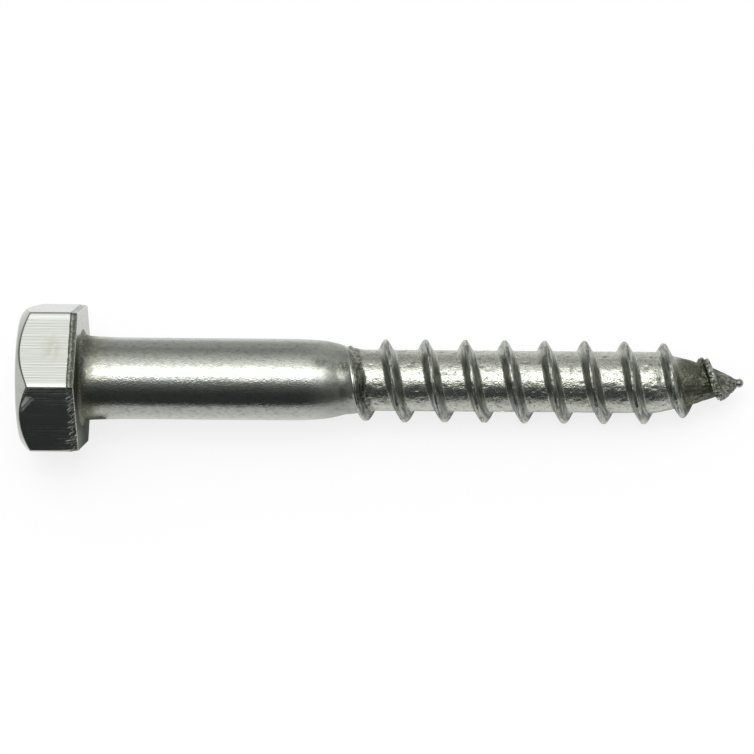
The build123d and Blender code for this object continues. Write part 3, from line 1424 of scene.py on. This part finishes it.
@dataclass
class Studio:
    """Pale floor, overhead softbox, cards, room light and the camera."""

    # Camera: place in mm, turn in degrees
    camera_place: tuple[float, float, float] = (58.97, -196.76, 458.62)
    camera_turn: tuple[float, float, float] = (23.528, 6.537, 2.106)
    lens: float = 262.23
    sensor: float = 36.0
    shift: tuple[float, float] = (0.0, 0.00426)
    clip: tuple[float, float] = (0.01, 20.0)
    floor_size: float = 3.0
    floor_color: float = 0.28
    floor_lift: float = 0.785
    # Softbox: height and length in metres, its edges by angle from the front upward
    softbox_height: float = 0.6
    softbox_front: float = 67.0
    softbox_back: float = 96.0
    softbox_length: float = 0.36
    softbox_radiance: float = 2.0
    cards: tuple[Card, ...] = (
        # Painted shadow: these two cards stand for the floor's shade beneath the head and the
        # shank, as seen in the steel
        Card("neck_shadow_card", ((-7.2, 0.05), (5.0, 0.05)), 0.13, (-27.6, -25.7)),
        Card("under_shadow_card", ((-2.6, 0.05), (5.0, 0.05)), 0.27, (-25.7, 33.0)),
        # Painted shade: these two cards dim the floor in front of the screw, as seen in the steel
        Card("apron_shade_card", ((-7.5, 0.3), (-14.0, 0.3)), 0.85),
        Card("middle_shade_card", ((-14.0, 0.3), (-31.0, 0.3)), 0.70, (-30.2, 600.0)),
        Card("shank_card", ((-26.0, 0.35), (-31.0, 0.35)), 0.05, (-26.0, -4.0)),
        Card("front_card", ((-31.0, 0.3), (-60.0, 0.3), (-75.0, 14.0)), 0.05, (-30.2, 600.0)),
        Card("left_card", ((-14.0, 0.3), (-60.0, 0.3), (-75.0, 14.0)), 0.04, (-600.0, -30.2)),
        Card("rear_card", ((22.0, 0.3), (60.0, 0.3)), 0.62, (-600.0, 0.0)),
        Card("back_card", ((60.0, 0.3), (60.0, 24.0)), 0.54, (-600.0, 0.0)),
        Card("right_card", ((-30.0, 30.0), (40.0, 30.0)), 0.50, (42.0, 130.0)),
        Card("fill_card", ((90.0, 12.0), (90.0, 75.0)), 0.62, (2.0, 600.0)),
    )
    # Room light by angle from the front upward and over to the back
    room_angles: tuple[float, ...] = (
        -180, -90, -7, 0, 2.5, 4.5, 17, 26, 35, 44, 52, 61, 67, 80, 95, 104, 113, 122, 132,
        142, 153, 166, 172, 175, 180,
    )
    room_levels: tuple[float, ...] = (
        0.80, 0.80, 0.80, 0.80, 0.80, 0.05, 0.05, 0.06, 0.08, 0.15, 0.23, 0.46, 0.80, 1.50,
        1.90, 1.75, 1.40, 0.95, 0.73, 0.54, 0.40, 0.38, 0.40, 0.80, 0.80,
    )
    # The room's ends, which darken by the distance along X and above the horizon
    side_level: float = 0.25
    side_window: tuple[float, float] = (0.18, 0.70)
    side_risen: tuple[float, float] = (0.08, 0.14)
    # Below this level the room's light turns cooler
    cool_below: float = 0.3

    def build(self) -> None:
        """Build everything round the screw."""
        self.build_floor()
        self.build_softbox()
        for card in self.cards:
            self.build_card(card)
        self.build_room()
        self.build_camera()

    def build_floor(self) -> None:
        """Make the pale floor, which keeps the screw's shadow."""
        ends = (-self.floor_size / 2, self.floor_size / 2)
        material, wire = new_material("pale_paper")
        path = wire.add("LightPath", {})
        seen = wire.math("MAXIMUM", path["Is Camera Ray"], path["Is Glossy Ray"])
        seen = wire.math("MAXIMUM", seen, path["Is Transmission Ray"])
        lift = wire.math("MULTIPLY", seen, self.floor_lift)
        wire.shade({"Base Color": (*(self.floor_color,) * 3, 1.0), "Roughness": 1.0})
        wire.shade({"Emission Color": (1.0, 1.0, 1.0, 1.0), "Emission Strength": lift})
        wire.shade({"Specular IOR Level": 0.0})
        floor = self.strip("floor", [(x, y, 0.0) for y in ends for x in ends], material)

    def strip(
        self, name: str, points: list[tuple[float, ...]], material: bpy.types.Material
    ) -> bpy.types.Object:
        """Make a strip of flat faces.

        Args:
            name: Name of the object.
            points: Pairs of points across the strip, in metres.
            material: Its material.

        Returns:
            The object, linked to the scene.
        """
        mesh = bpy.data.meshes.new(name)
        faces = [(i, i + 1, i + 3, i + 2) for i in range(0, len(points) - 2, 2)]
        mesh.from_pydata(points, [], faces)
        mesh.materials.append(material)
        strip = bpy.data.objects.new(name, mesh)
        bpy.context.scene.collection.objects.link(strip)
        return strip

    def build_card(self, card: Card) -> None:
        """Stand a card by the screw, seen by glossy rays alone.

        Args:
            card: The card's place and brightness.
        """
        points = [(x * MM, y * MM, z * MM) for y, z in card.outline for x in card.span]
        material, wire = new_material(card.name)
        wire.shade({"Base Color": (0.0, 0.0, 0.0, 1.0), "Specular IOR Level": 0.0})
        wire.shade({"Emission Color": (*self.room_tint(card.level), 1.0)})
        wire.shade({"Emission Strength": 1.0})
        sheet = self.strip(card.name, points, material)
        sheet.visible_camera = False
        sheet.visible_diffuse = False
        sheet.visible_shadow = False

    def build_softbox(self) -> None:
        """Hang the softbox over the screw."""
        front = -self.softbox_height / math.tan(math.radians(self.softbox_front))
        back = -self.softbox_height / math.tan(math.radians(self.softbox_back))
        lamp = bpy.data.lights.new("softbox", "AREA")
        lamp.shape = "RECTANGLE"
        lamp.size = self.softbox_length
        lamp.size_y = back - front
        lamp.energy = self.softbox_radiance * math.pi * lamp.size * lamp.size_y
        thing = bpy.data.objects.new("softbox", lamp)
        thing.location = (0.0, (front + back) / 2, self.softbox_height)
        bpy.context.scene.collection.objects.link(thing)

    def build_room(self) -> None:
        """Light the room by height, with darker ends along the screw."""
        world = bpy.data.worlds.new("room")
        bpy.context.scene.world = world
        world.use_nodes = True
        wire = NodeWiring(world.node_tree)
        apart = wire.add("SeparateXYZ", {0: wire.add("TexCoord", {})["Generated"]})
        front = wire.math("MULTIPLY", apart["Y"], -1.0)
        turned = wire.math("ARCTAN2", apart["Z"], front)
        band = world.node_tree.nodes.new("ShaderNodeValToRGB")
        wire.feed(band.inputs, {0: wire.math("MULTIPLY_ADD", turned, 0.5 / math.pi, 0.5)})
        ramp = band.color_ramp
        ramp.interpolation = "LINEAR"
        while len(ramp.elements) < len(self.room_angles):
            ramp.elements.new(0.5)
        for element, degrees, level in zip(ramp.elements, self.room_angles, self.room_levels):
            element.position = (degrees + 180) / 360
            element.color = (*self.room_tint(level), 1.0)
        outward = wire.ramp(wire.math("ABSOLUTE", apart["X"]), *self.side_window)
        share = wire.math("MULTIPLY", outward, wire.ramp(apart["Z"], *self.side_risen))
        color = wire.mix_color(share, band.outputs[0], (*(self.side_level,) * 3, 1.0))
        background = world.node_tree.nodes["Background"].inputs
        wire.feed(background, {"Color": color, "Strength": 1.0})

    def room_tint(self, level: float) -> tuple[float, float, float]:
        """Colour of the room at a brightness, cooler where it is dark."""
        cool = max(0.0, 1.0 - level / self.cool_below)
        return (level * (1 - 0.10 * cool), level * (1 + 0.05 * cool), level * (1 + 0.03 * cool))

    def build_camera(self) -> None:
        """Place the camera at the photograph's viewing angle."""
        data = bpy.data.cameras.new("camera")
        data.lens, data.sensor_width = self.lens, self.sensor
        data.shift_x, data.shift_y = self.shift
        data.clip_start, data.clip_end = self.clip
        camera = bpy.data.objects.new("camera", data)
        camera.location = Vector(self.camera_place) * MM
        camera.rotation_euler = Euler([math.radians(a) for a in self.camera_turn])
        bpy.context.scene.collection.objects.link(camera)
        bpy.context.scene.camera = camera


def main() -> None:
    """Build the screw and the studio, and report each piece."""
    logging.basicConfig(level=logging.INFO, format="%(name)s: %(message)s")
    bpy.context.scene.view_settings.view_transform = "Standard"
    axes = ScrewAxes()
    groups = FinishGroups()
    drawn = SteelFinish("rolled_steel")
    trimmed = SteelFinish(
        "trimmed_steel",
        metal=(0.52, 0.532, 0.495),
        oil=(0.36, 0.36, 0.25),
        stretch=0.04,
        speckle=0.06,
        relief=0.000006,
    )
    pieces = ((ForgedHead(axes), trimmed), (RolledBody(axes), drawn))
    for maker, finish in pieces:
        piece = maker.build()
        piece.data.materials.append(finish.material(groups))
        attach(piece, "root")
        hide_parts("lag_screw")
        LOG.info("%s: %d faces", piece.name, len(piece.data.polygons))
    Studio().build()


if __name__ == "__main__":
    main()
